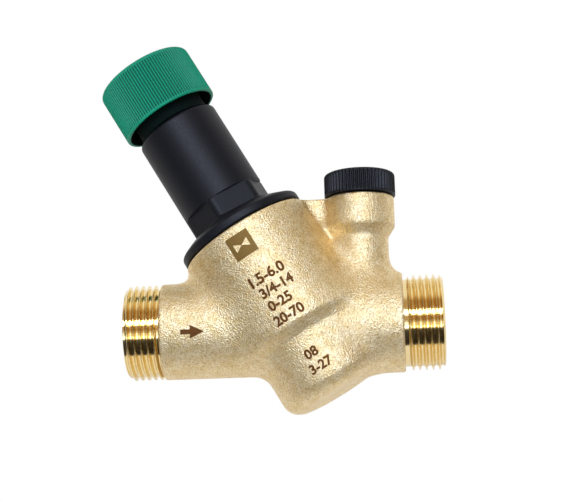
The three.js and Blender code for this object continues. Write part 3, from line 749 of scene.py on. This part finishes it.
# Adds a node, sets its settings and input values, and links its inputs
def addNode(tree, kind, values=None, links=None):
    node = tree.nodes.new("ShaderNode" + kind)
    for key, value in (values or {}).items():
        if isinstance(key, int) or key in node.inputs:
            node.inputs[key].default_value = value
        else:
            setattr(node, key, value)
    for key, source in (links or {}).items():
        tree.links.new(source, node.inputs[key])
    return node


def newMaterial(name):
    material = bpy.data.materials.new(name)
    material.use_nodes = True
    tree = material.node_tree
    shader = tree.nodes["Principled BSDF"]
    place = addNode(tree, "TexCoord").outputs["Object"]
    return material, tree, shader, place


def mixColours(tree, factor, first, second):
    mix = addNode(tree, "Mix", {"data_type": "RGBA"})
    colours = [socket for socket in mix.inputs if socket.type == "RGBA"]
    for socket, colour in zip(colours, (first, second)):
        if isinstance(colour, (list, tuple)):
            socket.default_value = colour
        else:
            tree.links.new(colour, socket)
    tree.links.new(factor, mix.inputs[0])
    return next(socket for socket in mix.outputs if socket.type == "RGBA")


# Forged brass, shot-blasted: the dents of the shot scatter the light into a pale satin gold with fine
# sparkle. The shot's dents are about 0.15 mm, too fine to show, so they are drawn at 0.36 mm.
blastedBrassLook = {
    "bright": "#f8e6bb",
    "dull": "#ecd39b",
    "warm": "#e0b67e",
    "pit": "#94713d",
    "dent": 0.36 * mm,
    "cloud": 2.2 * mm,
    "warmShare": 0.7,
    "pitShare": 0.8,
    "roughness": (0.36, 0.5),
    "dentRelief": 1.0,
    "dentDepth": 0.16 * mm,
    "waveRelief": 0.1,
    "waveDepth": 0.25 * mm,
}


def blastedBrass(look):
    material, tree, shader, place = newMaterial("forged_brass_shot_blasted")
    across = {"Vector": place}
    fine = 1 / look["dent"]
    cloud = addNode(tree, "TexNoise", {"Scale": 1 / look["cloud"], "Detail": 3}, across)
    grain = addNode(tree, "TexNoise", {"Scale": fine, "Detail": 3, "Roughness": 0.65}, across)
    apart = {"noise_dimensions": "4D", "W": 3.0}  # a second noise that doesn't follow the first
    tint = addNode(tree, "TexNoise", {**apart, "Scale": 0.7 * fine, "Detail": 1}, across)
    dents = addNode(tree, "TexVoronoi", {"Scale": 0.9 * fine, "feature": "SMOOTH_F1"}, across)
    spread = addNode(tree, "MapRange", {1: 0.35, 2: 0.65}, {0: cloud.outputs[0]})
    tone = mixColours(tree, spread.outputs[0], linear(look["dull"]), linear(look["bright"]))
    blush = addNode(tree, "MapRange", {1: 0.5, 2: 0.75, 3: 0.0, 4: look["warmShare"]}, {0: tint.outputs[0]})
    tone = mixColours(tree, blush.outputs[0], tone, linear(look["warm"]))
    speck = addNode(tree, "MapRange", {1: 0.5, 2: 0.7, 3: 0.0, 4: look["pitShare"]}, {0: grain.outputs[0]})
    colour = mixColours(tree, speck.outputs[0], tone, linear(look["pit"]))
    tree.links.new(colour, shader.inputs["Base Color"])
    low, high = look["roughness"]
    rough = addNode(tree, "MapRange", {1: 0.3, 2: 0.7, 3: low, 4: high}, {0: grain.outputs[0]})
    tree.links.new(rough.outputs[0], shader.inputs["Roughness"])
    waves = addNode(tree, "Bump", {"Strength": look["waveRelief"], "Distance": look["waveDepth"]},
                    {"Height": cloud.outputs[0]})
    relief = addNode(tree, "Math", {"operation": "ADD"}, {0: grain.outputs[0], 1: dents.outputs[0]})
    bump = addNode(tree, "Bump", {"Strength": look["dentRelief"], "Distance": look["dentDepth"]},
                   {"Height": relief.outputs[0], "Normal": waves.outputs[0]})
    tree.links.new(bump.outputs[0], shader.inputs["Normal"])
    shader.inputs["Metallic"].default_value = 1.0
    return material


# Turned brass: the lathe leaves bright flanks which mirror the studio in sharp bands
turnedBrassLook = {
    "bright": "#f4e0ac",
    "deep": "#e9cd8c",
    "cloud": 1.6 * mm,
    "roughness": (0.08, 0.16),
}


def turnedBrass(look):
    material, tree, shader, place = newMaterial("brass_turned")
    cloud = addNode(tree, "TexNoise", {"Scale": 1 / look["cloud"], "Detail": 2}, {"Vector": place})
    colour = mixColours(tree, cloud.outputs[0], linear(look["deep"]), linear(look["bright"]))
    tree.links.new(colour, shader.inputs["Base Color"])
    low, high = look["roughness"]
    rough = addNode(tree, "MapRange", {3: low, 4: high}, {0: cloud.outputs[0]})
    tree.links.new(rough.outputs[0], shader.inputs["Roughness"])
    shader.inputs["Metallic"].default_value = 1.0
    return material


# Laser-marked brass: the beam burns the surface to a dull brown oxide, through which some metal shines
laserMarkLooks = {
    "stroke": {"name": "brass_laser_burnt", "light": "#74470c", "dark": "#482402", "grain": 0.3 * mm,
               "roughness": (0.5, 0.75), "metallic": 0.6},
    "fill": {"name": "brass_laser_hatched", "light": "#85682f", "dark": "#6a4d1c", "grain": 0.3 * mm,
             "roughness": (0.5, 0.75), "metallic": 0.6},
}


def laserMark(look):
    material, tree, shader, place = newMaterial(look["name"])
    grain = addNode(tree, "TexNoise", {"Scale": 1 / look["grain"], "Detail": 2}, {"Vector": place})
    colour = mixColours(tree, grain.outputs[0], linear(look["dark"]), linear(look["light"]))
    tree.links.new(colour, shader.inputs["Base Color"])
    low, high = look["roughness"]
    rough = addNode(tree, "MapRange", {3: low, 4: high}, {0: grain.outputs[0]})
    tree.links.new(rough.outputs[0], shader.inputs["Roughness"])
    shader.inputs["Metallic"].default_value = look["metallic"]
    return material


# Moulded plastics and rubber: an even colour whose gloss breaks up on the fine spark-eroded texture of
# the mould. That texture is about 0.05 mm, too fine to show, so it is drawn at 0.2 to 0.3 mm. The black
# nylon and the ABS start from an IOR of about 1.53, lowered until their dull faces are as dark as they
# should be. "groove" is painted shade: a darker colour between the knob's ribs, where shadow falls. The
# knob's inside look is painted shade as well, a near-black green for the faces deep inside the knob.
mouldedLooks = {
    "bonnet": {"name": "nylon_glass_filled", "colour": "#08090e", "fleck": "#0e0f15", "grain": 0.3 * mm,
               "roughness": (0.4, 0.55), "bump": 0.5, "ior": 1.31},
    "knob": {"name": "abs_green_moulded", "colour": "#037a5a", "fleck": "#088a68", "groove": "#02452f",
             "grain": 0.25 * mm, "roughness": (0.45, 0.58), "bump": 0.08, "ior": 1.3},
    # painted shade: near-black green for the inside of the knob
    "knobInsidePaintedShade": {"name": "abs_green_inside_painted_shade", "colour": "#010c08", "fleck": "#02110b", "grain": 0.25 * mm,
                   "roughness": (0.8, 0.9), "bump": 0.12, "ior": 1.2},
    "plug": {"name": "nylon_black_moulded", "colour": "#07080d", "fleck": "#0c0d13", "grain": 0.25 * mm,
             "roughness": (0.4, 0.55), "bump": 0.15, "ior": 1.35},
    "cartridge": {"name": "acetal_natural", "colour": "#dedacb", "fleck": "#d3cebc", "grain": 0.3 * mm,
                  "roughness": (0.35, 0.5), "bump": 0.1, "ior": 1.48},
    "rubber": {"name": "epdm_moulded", "colour": "#131315", "fleck": "#1d1d1f", "grain": 0.2 * mm,
               "roughness": (0.6, 0.8), "bump": 0.2, "ior": 1.5},
}


def moulded(look):
    material, tree, shader, place = newMaterial(look["name"])
    across = {"Vector": place}
    grain = addNode(tree, "TexNoise", {"Scale": 1 / look["grain"], "Detail": 3, "Roughness": 0.6}, across)
    cloud = addNode(tree, "TexNoise", {"Scale": 1 / (9 * mm), "Detail": 2}, across)
    colour = mixColours(tree, cloud.outputs[0], linear(look["colour"]), linear(look["fleck"]))
    # Painted shade: where pointiness finds a groove between the ribs, the colour darkens to the groove colour
    if "groove" in look:
        edges = addNode(tree, "NewGeometry").outputs["Pointiness"]
        crest = addNode(tree, "MapRange", {1: 0.44, 2: 0.52}, {0: edges})
        colour = mixColours(tree, crest.outputs[0], linear(look["groove"]), colour)
    tree.links.new(colour, shader.inputs["Base Color"])
    low, high = look["roughness"]
    rough = addNode(tree, "MapRange", {1: 0.3, 2: 0.7, 3: low, 4: high}, {0: grain.outputs[0]})
    tree.links.new(rough.outputs[0], shader.inputs["Roughness"])
    relief = {"Strength": look["bump"], "Distance": 0.05 * mm}
    bump = addNode(tree, "Bump", relief, {"Height": grain.outputs[0]})
    tree.links.new(bump.outputs[0], shader.inputs["Normal"])
    shader.inputs["IOR"].default_value = look["ior"]
    return material


# Stainless steel, drawn or stamped: grey with faint streaks
steelLook = {
    "dark": "#a9abae",
    "light": "#c6c7c9",
    "streak": 0.8 * mm,
    "roughness": (0.22, 0.42),
}


def stainlessSteel(look):
    material, tree, shader, place = newMaterial("stainless_steel_drawn")
    streaks = addNode(tree, "TexNoise", {"Scale": 1 / look["streak"], "Detail": 4}, {"Vector": place})
    colour = mixColours(tree, streaks.outputs[0], linear(look["dark"]), linear(look["light"]))
    tree.links.new(colour, shader.inputs["Base Color"])
    low, high = look["roughness"]
    rough = addNode(tree, "MapRange", {3: low, 4: high}, {0: streaks.outputs[0]})
    tree.links.new(rough.outputs[0], shader.inputs["Roughness"])
    shader.inputs["Metallic"].default_value = 1.0
    return material


# Puts materials on a piece without losing which face wears which
def wear(piece, *materials):
    indices = [face.material_index for face in piece.data.polygons]
    piece.data.materials.clear()
    for material in materials:
        piece.data.materials.append(material)
    piece.data.polygons.foreach_set("material_index", indices)
    return piece


brassBody = blastedBrass(blastedBrassLook)
brassThread = turnedBrass(turnedBrassLook)
markBrass = {key: laserMark(look) for key, look in laserMarkLooks.items()}
plastics = {key: moulded(look) for key, look in mouldedLooks.items()}
steel = stainlessSteel(steelLook)
print("materials made")

housing = wear(forgedHousing(housingForm), brassBody)
print("housing:", len(housing.data.polygons), "faces")
threads = [wear(threadedEnd(name, end, threadForm), brassThread) for name, end in threadEnds.items()]
marks = wear(bodyMarks(housing, markForm), markBrass["stroke"], markBrass["fill"])
bonnet = wear(mouldedBonnet(bonnetForm), plastics["bonnet"])
knob = wear(mouldedKnob(knobForm), plastics["knob"], plastics["knobInsidePaintedShade"])
plug = wear(mouldedPlug(plugForm), plastics["plug"])
spring = wear(woundSpring(springForm), steel)
print("pieces made")

for piece, body, slot, node in (
    (housing, "housing", "blasted_brass", "housing"),
    (threads[0], "housing", "blasted_brass", "housing"),
    (threads[1], "housing", "blasted_brass", "housing"),
    (marks, "housing", "blasted_brass", "housing"),
    (bonnet, "housing", "bonnet_plastic", "spring_bonnet"),
    (knob, "knob", "knob_plastic", "adjusting_knob"),
    (plug, "plug", "plug_plastic", "gauge_plug"),
    (spring, "housing", "steel", "adjusting_spring"),
):
    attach(piece, body)
    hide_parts(node)

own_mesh(spring)

# CAD pieces that keep their shape get their real finish
finishes = {
    "rubber": plastics["rubber"],
    "steel": steel,
    "turned_brass": brassThread,
    "cartridge_plastic": plastics["cartridge"],
}
for part in frame["record"]["subparts"]:
    if part["material_slot"] in finishes:
        wear(frame["nodes"][part["node"]], finishes[part["material_slot"]])
print("finishes set")

studio = {
    "cameraPlace": Vector((23.34, -424.59, -65.29)),  # camera and target in mm from the crossing
    "cameraTarget": Vector((-3.144, 0, 21.886)),
    "cameraRoll": -1.709,
    "lens": 96.343,
    "floorHeight": -0.12,
    "floorSize": 6.0,
    "whiteLevel": 1.0,  # behind and above the valve
    "roomLevel": 0.49,  # straight in front
    "darkLevel": 0.04,  # in front, to either side
    "sideSpan": (0.3, 0.65),  # where the room darkens, as the sideways part of the direction
    "aboveSpan": (0.75, 0.95),
    "behindSpan": (-0.35, 0.0),
    "roomColour": "#ffd9a6",
    "cards": [  # black cards on the floor: left, right, near and far edge, from the crossing
        (-0.4, 0.4, -0.05, -0.28),
        (-1.6, -0.4, -0.05, -1.4),
        (0.4, 1.6, -0.05, -1.4),
    ],
    "cardLift": 0.001,  # over the floor
    "stripColour": "#d3e3ff",
    "strips": {  # place from the crossing and aim, size in m, and how bright its face looks
        "upper_strip": {
            "place": (0, -0.9, 0.31),
            "aim": (0, 0.9, -0.31),
            "size": (0.8, 0.17),
            "level": 19.0,
        },
        "floor_strip": {
            "place": (0, -0.345, -0.118),
            "aim": (0, 0, 1),
            "size": (0.6, 0.09),
            "level": 3.6,
        },
    },
}


def addCamera(setup):
    data = bpy.data.cameras.new("camera")
    data.lens = setup["lens"]
    data.sensor_width = 36
    data.clip_start = 0.01
    data.clip_end = 20
    camera = bpy.data.objects.new("camera", data)
    bpy.context.scene.collection.objects.link(camera)
    place = crossing + setup["cameraPlace"] * mm
    look = (setup["cameraTarget"] - setup["cameraPlace"]).normalized()
    side = look.cross(Vector((0, 0, 1))).normalized()
    up = side.cross(look)
    roll = math.radians(setup["cameraRoll"])
    right = side * math.cos(roll) + up * math.sin(roll)
    above = up * math.cos(roll) - side * math.sin(roll)
    turn = Matrix((right, above, -look)).transposed()
    camera.matrix_world = Matrix.Translation(place) @ turn.to_4x4()
    bpy.context.scene.camera = camera


# Matt paper or card of the studio: fibres, 2 mm long, shift its colour a little
def mattSheet(name, dark, light):
    material, tree, shader, place = newMaterial(name)
    fibre = addNode(tree, "TexNoise", {"Scale": 1 / (2 * mm), "Detail": 3}, {"Vector": place})
    colour = mixColours(tree, fibre.outputs[0], linear(dark), linear(light))
    tree.links.new(colour, shader.inputs["Base Color"])
    shader.inputs["Roughness"].default_value = 0.9
    return material


# Level sheets of (left, right, near, far) edges in m
def laidSheets(name, sheets, height, material):
    points, faces = [], []
    for left, right, near, far in sheets:
        base = len(points)
        points += [(left, far, height), (right, far, height), (right, near, height), (left, near, height)]
        faces.append((base, base + 1, base + 2, base + 3))
    mesh = bpy.data.meshes.new(name)
    mesh.from_pydata(points, [], faces)
    mesh.materials.append(material)
    sheet = bpy.data.objects.new(name, mesh)
    bpy.context.scene.collection.objects.link(sheet)
    return sheet


def addFloor(setup):
    half = setup["floorSize"] / 2
    paper = mattSheet("paper_white_matt", "#f7f7f6", "#ffffff")
    laidSheets("floor", [(-half, half, half, -half)], setup["floorHeight"], paper)


# A softbox out of the picture, aimed from its place
def addSoftbox(name, strip, setup):
    width, height = strip["size"]
    data = bpy.data.lights.new(name, "AREA")
    data.shape = "RECTANGLE"
    data.size, data.size_y = width, height
    data.energy = strip["level"] * math.pi * width * height
    data.color = linear(setup["stripColour"])[:3]
    lamp = bpy.data.objects.new(name, data)
    bpy.context.scene.collection.objects.link(lamp)
    lamp.location = crossing + Vector(strip["place"])
    lamp.rotation_euler = Vector(strip["aim"]).to_track_quat("-Z", "Y").to_euler()
    lamp.visible_camera = False


# Black cards in front of the valve and beside it, which the threads and the plastics mirror
def addDarkCards(setup):
    middle = crossing.x
    sheets = [(middle + left, middle + right, near, far) for left, right, near, far in setup["cards"]]
    card = mattSheet("card_black_matt", "#0e0706", "#160c0a")
    cards = laidSheets("dark_cards", sheets, setup["floorHeight"] + setup["cardLift"], card)
    cards.visible_camera = False
    cards.visible_diffuse = False
    cards.visible_shadow = False


# White behind and above, a dim room in front that is darkest to the sides
def addWorld(setup):
    world = bpy.data.worlds.new("studio")
    bpy.context.scene.world = world
    world.use_nodes = True
    tree = world.node_tree
    way = addNode(tree, "TexCoord").outputs["Generated"]
    parts = addNode(tree, "SeparateXYZ", None, {0: way})
    sideways = addNode(tree, "Math", {"operation": "ABSOLUTE"}, {0: parts.outputs[0]})

    def graded(span, source, start, end):
        low, high = span
        values = {"interpolation_type": "SMOOTHSTEP", 1: low, 2: high, 3: start, 4: end}
        return addNode(tree, "MapRange", values, {0: source}).outputs[0]

    room = graded(setup["sideSpan"], sideways.outputs[0], setup["roomLevel"], setup["darkLevel"])
    above = graded(setup["aboveSpan"], parts.outputs[2], 0, 1)
    behind = graded(setup["behindSpan"], parts.outputs[1], 0, 1)
    white = addNode(tree, "Math", {"operation": "MAXIMUM"}, {0: above, 1: behind})
    level = addNode(tree, "MapRange", {4: setup["whiteLevel"]}, {0: white.outputs[0], 3: room})
    tree.links.new(level.outputs[0], tree.nodes["Background"].inputs["Strength"])
    colour = mixColours(tree, white.outputs[0], linear(setup["roomColour"]), linear("#ffffff"))
    tree.links.new(colour, tree.nodes["Background"].inputs["Color"])


addCamera(studio)
addFloor(studio)
addWorld(studio)
addDarkCards(studio)
for name, strip in studio["strips"].items():
    addSoftbox(name, strip, studio)
bpy.context.scene.view_settings.view_transform = "Standard"
print("studio set")
